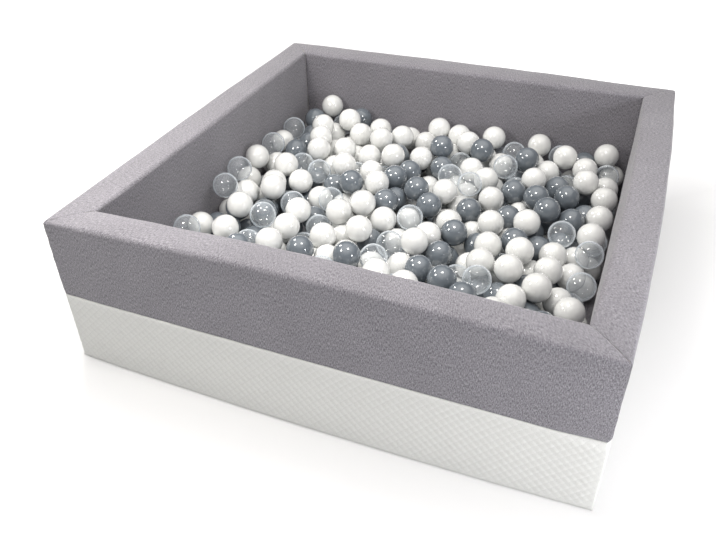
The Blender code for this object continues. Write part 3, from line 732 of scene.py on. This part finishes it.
floor_cloth = soft_slab("floor_cloth", "floor_panel", 0.03, 0.003, 0.0008, 5.0)
add_piece("floor_cloth", floor_cloth, grey_cloth, ["floor_panel"])
under_cloth = soft_slab("underside_cloth", "underside_panel", 0.03, 0.003, 0.0006, 8.0)
add_piece("underside_cloth", under_cloth, canvas("underside_canvas", (0.42, 0.42, 0.41), (0.62, 0.62, 0.60)),
          ["underside_panel"])
print("panels:", len(floor_cloth.polygons), "and", len(under_cloth.polygons), "faces")

# %% [markdown]
# The zip joins the two covers along the back. Its teeth are one tooth repeated every 2.4 mm, which is work
# for Geometry Nodes: a line of points, a tooth on each, and the two rows half a step apart so that they
# mesh. The tapes are woven, and the slider, its pull and the stops are cast zinc, so they keep their solids.

# %% Zip
tooth_pitch = 0.0024
tooth_row = 0.0030
tooth_slot = 0.0012
tape_width = 0.0130
tape_thickness = 0.0008
tape_step_count = 60
cord_width = 0.0025
cord_end = 0.0032
tooth_half = (tooth_pitch * 0.30, 0.0011, 0.00155)
tooth_out = 0.0014
tooth_from_seam = 0.0004
stop_length = 0.0050


def new_tree(name, inputs):
    """A Geometry Nodes tree with one mesh input and output, and named inputs."""
    tree = bpy.data.node_groups.new(name, "GeometryNodeTree")
    tree.interface.new_socket(name="Geometry", in_out="INPUT", socket_type="NodeSocketGeometry")
    for label, kind, value in inputs:
        socket = tree.interface.new_socket(name=label, in_out="INPUT", socket_type=kind)
        if value is not None:
            socket.default_value = value
    tree.interface.new_socket(name="Geometry", in_out="OUTPUT", socket_type="NodeSocketGeometry")
    return tree, add_step(tree, "NodeGroupInput"), add_step(tree, "NodeGroupOutput")


def grow(name, start_mesh, tree, values):
    """Run a tree on a mesh and return the result as a plain mesh."""
    seed = bpy.data.objects.new(name + "_seed", start_mesh)
    bpy.context.scene.collection.objects.link(seed)
    growth = seed.modifiers.new(name, "NODES")
    growth.node_group = tree
    for socket in tree.interface.items_tree:
        if socket.in_out == "INPUT" and socket.name in values:
            growth[socket.identifier] = values[socket.name]
    bpy.context.view_layer.update()
    graph = bpy.context.evaluated_depsgraph_get()
    made = bpy.data.meshes.new_from_object(
        seed.evaluated_get(graph), preserve_all_data_layers=True, depsgraph=graph)
    made.name = name
    bpy.data.objects.remove(seed)
    return made


def tooth_tree():
    tree, given, out = new_tree("zip_teeth", [
        ("Pitch", "NodeSocketFloat", tooth_pitch),
        ("Count", "NodeSocketInt", 10),
        ("Tooth Size", "NodeSocketVector", (0.001, 0.001, 0.001)),
        ("Material", "NodeSocketMaterial", None),
    ])
    step = add_step(tree, "ShaderNodeCombineXYZ", {0: given.outputs["Pitch"]})
    line = add_step(tree, "GeometryNodeMeshLine", {"Count": given.outputs["Count"], "Offset": step.outputs[0]})
    tooth = add_step(tree, "GeometryNodeMeshUVSphere", {"Segments": 8, "Rings": 5, "Radius": 1.0})
    smooth = add_step(tree, "GeometryNodeSetShadeSmooth", {"Geometry": tooth.outputs[0]})
    row = add_step(tree, "GeometryNodeInstanceOnPoints", {
        "Points": line.outputs[0], "Instance": smooth.outputs[0], "Scale": given.outputs["Tooth Size"]})
    real = add_step(tree, "GeometryNodeRealizeInstances", {0: row.outputs[0]})
    faced = add_step(tree, "GeometryNodeSetMaterial", {
        "Geometry": real.outputs[0], "Material": given.outputs["Material"]})
    tree.links.new(faced.outputs[0], out.inputs[0])
    return tree


def plain_plastic(name, colour, roughness):
    finish, tree, shader = new_finish(name)
    place = add_step(tree, "ShaderNodeTexCoord").outputs["Object"]
    mottle = add_step(tree, "ShaderNodeTexNoise", {"Vector": place, "Scale": 700.0, "Detail": 2.0})
    shade = add_step(tree, "ShaderNodeMapRange", {0: mottle.outputs["Fac"], 1: 0.3, 2: 0.7, 3: 0.88, 4: 1.08})
    tree.links.new(blend_of(tree, (*colour, 1), shade.outputs[0], 1.0, "MULTIPLY"), shader.inputs["Base Color"])
    shader.inputs["Roughness"].default_value = roughness
    return finish


def tape_mesh(name, up):
    """Woven tape with a thicker cord along the teeth."""
    back = pit_side / 2 - cover_cloth
    inner, outer = tooth_slot / 2 + tooth_row * 0.45, tooth_slot / 2 + tooth_row + tape_width
    thin = tape_thickness * 0.75
    profile = [(inner, 0.0), (inner, tape_thickness), (inner + cord_width, tape_thickness),
               (inner + cord_end, thin), (outer - thin, thin), (outer, thin / 2), (outer, 0.0)]
    steps = [zip_length * (k / tape_step_count - 0.5) for k in range(tape_step_count + 1)]
    points = [(x, back + out, seam_height + up * z) for x in steps for z, out in profile]
    count = len(profile)
    faces = []
    for row in range(tape_step_count):
        for k in range(count):
            a, b = row * count + k, row * count + (k + 1) % count
            quad = (a, b, b + count, a + count)
            faces.append(quad if up > 0 else quad[::-1])
    ends = [tuple(range(count)), tuple(range(tape_step_count * count, (tape_step_count + 1) * count))]
    faces += [ends[0][::-1], ends[1]] if up > 0 else [ends[0], ends[1][::-1]]
    mesh = bpy.data.meshes.new(name)
    mesh.from_pydata(points, [], faces)
    layer = mesh.uv_layers.new(name="cloth")
    for loop, spot in zip(mesh.loops, layer.data):
        co = mesh.vertices[loop.vertex_index].co
        spot.uv = (co.x, co.z)
    mesh.shade_smooth()
    mesh.set_sharp_from_angle(angle=math.radians(40))
    return mesh


tape_cloth = canvas("zip_tape_weave", (0.035, 0.035, 0.04), (0.085, 0.085, 0.095))
tooth_plastic = plain_plastic("zip_tooth_plastic", (0.06, 0.06, 0.065), 0.4)
teeth_tree = tooth_tree()
row_length = zip_length - 2 * stop_length - 2 * fit_gap - tooth_pitch
tooth_count = int(row_length / tooth_pitch)
for side, up in (("upper", 1), ("lower", -1)):
    name, nodes = "zip_tape_cloth_" + side, ["zip_tape_" + side]
    add_piece(name, tape_mesh(name, up), tape_cloth, nodes)
    name = "zip_teeth_" + side
    teeth = grow(name, bpy.data.meshes.new("start"), teeth_tree, {
        "Pitch": tooth_pitch, "Count": tooth_count, "Material": tooth_plastic, "Tooth Size": tooth_half})
    start = -(tooth_count - 1) / 2 * tooth_pitch + up * tooth_pitch / 4
    height = seam_height + up * (tooth_from_seam + tooth_half[2])
    teeth.transform(Matrix.Translation((start, pit_side / 2 - cover_cloth + tooth_out, height)))
    add_piece(name, teeth, tooth_plastic, nodes)
    print("zip", side, tooth_count, "teeth")


def cast_zinc(name):
    finish, tree, shader = new_finish(name)
    place = add_step(tree, "ShaderNodeTexCoord").outputs["Object"]
    grain = add_step(tree, "ShaderNodeTexNoise", {"Vector": place, "Scale": 1500.0, "Detail": 3.0})
    wear = add_step(tree, "ShaderNodeMapRange", {0: grain.outputs["Fac"], 1: 0.3, 2: 0.7, 3: 0.24, 4: 0.42})
    tree.links.new(wear.outputs[0], shader.inputs["Roughness"])
    shade = add_step(tree, "ShaderNodeMapRange", {0: grain.outputs["Fac"], 1: 0.2, 2: 0.8, 3: 0.85, 4: 1.05})
    tint = blend_of(tree, (0.56, 0.56, 0.57, 1), shade.outputs[0], 1.0, "MULTIPLY")
    tree.links.new(tint, shader.inputs["Base Color"])
    bump = add_step(tree, "ShaderNodeBump", {"Strength": 0.2, "Distance": 0.0001, "Height": grain.outputs["Fac"]})
    tree.links.new(bump.outputs[0], shader.inputs["Normal"])
    shader.inputs["Metallic"].default_value = 1.0
    return finish


zinc = cast_zinc("cast_zinc")
for node in ("zip_slider", "zip_pull_tab", "zip_stop_open_end", "zip_stop_closed_end"):
    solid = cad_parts[node]
    solid.data.materials.clear()
    solid.data.materials.append(zinc)

# %% [markdown]
# The balls are the heart of the picture. On the real pit they were poured in, so here they are too: each
# ball is dropped at a random place and rolls downhill over those that lie there already. The draw has a
# fixed seed, so the heap is the same every time and the same as in the solids.

# %% Pour the balls
ball_gap = 0.0003
wall_room = 0.0035
fill_level = 0.196
fill_rise = 0.042
ball_step = 0.022
ball_step_end = 0.0003
merge_distance = 0.00003
loose_ball_count = 24
fill_seed = 11
fill_miss_count = 40
same_place = 0.002


def surface_level(x, y):
    """How high a ball's centre may lie: the heap climbs towards the left and back walls."""
    left = max(-x / inner_half, 0.0)
    back = max(y / inner_half, 0.0)
    return fill_level + fill_rise * min(left * left + back * back, 1.0)


def rest_height(x, y, settled):
    """Height of a ball's centre where it would touch the floor or the balls below."""
    touch = ball_diameter + ball_gap
    flat = floor_top + ball_gap + ball_radius
    if len(settled) == 0:
        return flat
    offset = settled[:, :2] - (x, y)
    square = touch * touch - (offset * offset).sum(axis=1)
    near = square > 0
    if not near.any():
        return flat
    return max(flat, float((settled[near, 2] + np.sqrt(square[near])).max()))


def roll_down(x, y, settled, reach):
    """Let a ball roll downhill from where it lands until no short step takes it lower."""
    height = rest_height(x, y, settled)
    step = ball_step
    while step > ball_step_end:
        moved = False
        for k in range(8):
            turn = math.pi / 4 * k
            try_x = min(max(x + step * math.cos(turn), -reach), reach)
            try_y = min(max(y + step * math.sin(turn), -reach), reach)
            try_height = rest_height(try_x, try_y, settled)
            if try_height < height - merge_distance / 10:
                x, y, height, moved = try_x, try_y, try_height, True
                break
        if not moved:
            step /= 2
    return x, y, height


def settle_balls():
    """Drop balls at random places until the heap is full; each row is a centre."""
    draw = random.Random(fill_seed)
    reach = inner_half - wall_room - ball_radius
    settled = np.empty((0, 3))
    misses = 0
    while misses < fill_miss_count:
        x, y, height = roll_down(draw.uniform(-reach, reach), draw.uniform(-reach, reach), settled, reach)
        if height > surface_level(x, y):
            misses += 1
            continue
        settled = np.vstack([settled, (x, y, height)])
        misses = 0
    return settled


heap = settle_balls()
loose_nodes = ["ball_%02d" % (number + 1) for number in range(loose_ball_count)]
loose_centres = [sum(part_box(node), Vector()) / 2 for node in loose_nodes]
fixed = [centre for centre in heap if min((Vector(centre) - loose).length for loose in loose_centres) > same_place]
misfits = [float(np.linalg.norm(heap - np.array(centre), axis=1).min()) for centre in loose_centres]
print("balls poured:", len(heap), "loose:", len(loose_centres), "fit within mm:", round(max(misfits) * 1000, 3))

# %% [markdown]
# One ball is a sphere with a memory: each point keeps where it was on the ball before the ball was turned.
# The finish reads that to draw the parting line of the mould and the little gate mark at the poles. Geometry
# Nodes puts the ball on every centre and turns each one its own way. Balls that show get 320 faces. Those
# beneath, which are seen only through gaps, get 80.

# %% Play balls
def ball_tree():
    tree, given, out = new_tree("poured_balls", [
        ("Radius", "NodeSocketFloat", ball_radius),
        ("Subdivisions", "NodeSocketInt", 3),
        ("Seed", "NodeSocketInt", 1),
        ("Material", "NodeSocketMaterial", None),
    ])
    ball = add_step(tree, "GeometryNodeMeshIcoSphere", {
        "Radius": given.outputs["Radius"], "Subdivisions": given.outputs["Subdivisions"]})
    smooth = add_step(tree, "GeometryNodeSetShadeSmooth", {"Geometry": ball.outputs[0]})
    where = add_step(tree, "GeometryNodeInputPosition")
    marked = add_step(tree, "GeometryNodeStoreNamedAttribute", {
        "Geometry": smooth.outputs[0], "Name": "ball_spot", "Value": where.outputs[0]},
        data_type="FLOAT_VECTOR", domain="POINT")
    turn = add_step(tree, "FunctionNodeRandomValue", {
        0: (0.0, 0.0, 0.0), 1: (6.283, 6.283, 6.283), "Seed": given.outputs["Seed"]}, data_type="FLOAT_VECTOR")
    scattered = add_step(tree, "GeometryNodeInstanceOnPoints", {
        "Points": given.outputs["Geometry"], "Instance": marked.outputs[0], "Rotation": turn.outputs[0]})
    tone = add_step(tree, "FunctionNodeRandomValue", {
        2: 0.0, 3: 1.0, "Seed": given.outputs["Seed"]}, data_type="FLOAT")
    toned = add_step(tree, "GeometryNodeStoreNamedAttribute", {
        "Geometry": scattered.outputs[0], "Name": "ball_tone", "Value": tone.outputs[1]},
        data_type="FLOAT", domain="INSTANCE")
    real = add_step(tree, "GeometryNodeRealizeInstances", {0: toned.outputs[0]})
    faced = add_step(tree, "GeometryNodeSetMaterial", {
        "Geometry": real.outputs[0], "Material": given.outputs["Material"]})
    tree.links.new(faced.outputs[0], out.inputs[0])
    return tree


def ball_plastic(name, colour, roughness, clear=False):
    finish, tree, shader = new_finish(name)
    spot = add_step(tree, "ShaderNodeAttribute", attribute_name="ball_spot").outputs["Vector"]
    tone = add_step(tree, "ShaderNodeAttribute", attribute_name="ball_tone").outputs["Fac"]
    split = add_step(tree, "ShaderNodeSeparateXYZ", {0: spot})
    off_line = add_step(tree, "ShaderNodeMath", {0: split.outputs["Z"]}, operation="ABSOLUTE")
    ridge = add_step(tree, "ShaderNodeMapRange", {0: off_line.outputs[0], 1: 0.0, 2: 0.0009, 3: 1.0, 4: 0.0})
    aside = add_step(tree, "ShaderNodeCombineXYZ", {0: split.outputs["X"], 1: split.outputs["Y"]})
    from_pole = add_step(tree, "ShaderNodeVectorMath", {0: aside.outputs[0]}, operation="LENGTH")
    ring = add_step(tree, "ShaderNodeMath", {0: from_pole.outputs["Value"], 1: 0.0032}, operation="SUBTRACT")
    off_ring = add_step(tree, "ShaderNodeMath", {0: ring.outputs[0]}, operation="ABSOLUTE")
    gate = add_step(tree, "ShaderNodeMapRange", {0: off_ring.outputs[0], 1: 0.0, 2: 0.0008, 3: 0.8, 4: 0.0})
    marks = add_step(tree, "ShaderNodeMath", {0: ridge.outputs[0], 1: gate.outputs[0]}, operation="MAXIMUM")
    waves = add_step(tree, "ShaderNodeTexNoise", {"Vector": spot, "Scale": 45.0, "Detail": 1.0})
    height = add_step(tree, "ShaderNodeMath", {0: waves.outputs["Fac"], 1: 0.35, 2: marks.outputs[0]},
                      operation="MULTIPLY_ADD")
    bump = add_step(tree, "ShaderNodeBump", {"Strength": 0.35, "Distance": 0.0005, "Height": height.outputs[0]})
    tree.links.new(bump.outputs[0], shader.inputs["Normal"])
    shade = add_step(tree, "ShaderNodeMapRange", {0: tone, 1: 0.0, 2: 1.0, 3: 0.93, 4: 1.04})
    base = blend_of(tree, (*colour, 1), shade.outputs[0], 1.0, "MULTIPLY")
    tree.links.new(base, shader.inputs["Base Color"])
    shader.inputs["Roughness"].default_value = roughness
    if clear:
        edge = add_step(tree, "ShaderNodeLayerWeight", {"Blend": 0.5})
        cover = add_step(tree, "ShaderNodeMapRange", {0: edge.outputs["Facing"], 1: 0.30, 2: 0.85, 3: 0.15, 4: 0.90},
                         interpolation_type="SMOOTHSTEP")
        tree.links.new(cover.outputs[0], shader.inputs["Alpha"])
        set_inputs(shader, {"IOR": 1.9, "Specular IOR Level": 0.9, "Coat IOR": 1.9})
    else:
        set_inputs(shader, {"Specular IOR Level": 0.3, "Coat IOR": 1.6})
    set_inputs(shader, {"Coat Weight": 1.0, "Coat Roughness": 0.02})
    return finish


BALL_FINISHES = {
    "white": ball_plastic("ball_white", (0.795, 0.80, 0.785), 0.10),
    "grey": ball_plastic("ball_grey", (0.150, 0.172, 0.195), 0.09),
    "clear": ball_plastic("ball_clear", (0.80, 0.87, 0.93), 0.05, clear=True),
}
balls_tree = ball_tree()


def pour(name, centres, colour, subdivisions, seed):
    start = bpy.data.meshes.new(name + "_centres")
    start.from_pydata([tuple(c) for c in centres], [], [])
    return grow(name, start, balls_tree, {
        "Radius": ball_radius, "Subdivisions": subdivisions, "Seed": seed, "Material": BALL_FINISHES[colour]})


def sight_lines():
    """Ways up out of the heap, spread evenly over the part of the sky that is more than 20 degrees up."""
    lines = []
    for k in range(60):
        rise = 0.34 + 0.65 * (k + 0.5) / 60
        turn = k * math.pi * (3 - math.sqrt(5))
        flat = math.sqrt(1 - rise * rise)
        lines.append((flat * math.cos(turn), flat * math.sin(turn), rise))
    return np.array(lines)


def lies_deep(centre):
    """True where the other balls cover this one from every way up."""
    offsets = heap - centre
    offsets = offsets[np.linalg.norm(offsets, axis=1) > ball_radius]
    ahead = offsets @ sight_lines().T
    aside = np.sqrt(np.maximum((offsets * offsets).sum(axis=1)[:, None] - ahead * ahead, 0.0))
    hidden = ((ahead > 0) & (aside < ball_radius * 1.25)).any(axis=0)
    return bool(hidden.all())


draw = random.Random(5)
groups = {(colour, deep): [] for colour in BALL_FINISHES for deep in (False, True)}
for centre in fixed:
    colour = draw.choices(("white", "grey", "clear"), (0.50, 0.31, 0.19))[0]
    groups[colour, lies_deep(centre)].append(centre)
for number, ((colour, deep), centres) in enumerate(groups.items()):
    name = "balls_%s_%s" % (colour, "below" if deep else "on_top")
    add_piece(name, pour(name, centres, colour, 2 if deep else 3, number + 1), BALL_FINISHES[colour],
              ["ball_bed"])
    print(name, len(centres))

LOOSE_COLOURS = ("white", "grey", "white", "clear", "white", "grey")
for number, (node, centre) in enumerate(zip(loose_nodes, loose_centres)):
    colour = LOOSE_COLOURS[number % len(LOOSE_COLOURS)]
    name = "play_" + node
    add_piece(name, pour(name, [centre], colour, 3, 40 + number), BALL_FINISHES[colour],
              [node], body=node)
print("loose balls:", len(loose_centres))

# %% [markdown]
# The last step measures the box of the dressed pit against that of the solids and prints how much it has grown,
# to show that the cloth and the balls stay where the solids are.

# %% Compare the boxes
dressed_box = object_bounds()
growth = (dressed_box[1] - dressed_box[0]) - (cad_box[1] - cad_box[0])
print("grown by mm:", [round(1000 * way, 1) for way in growth])
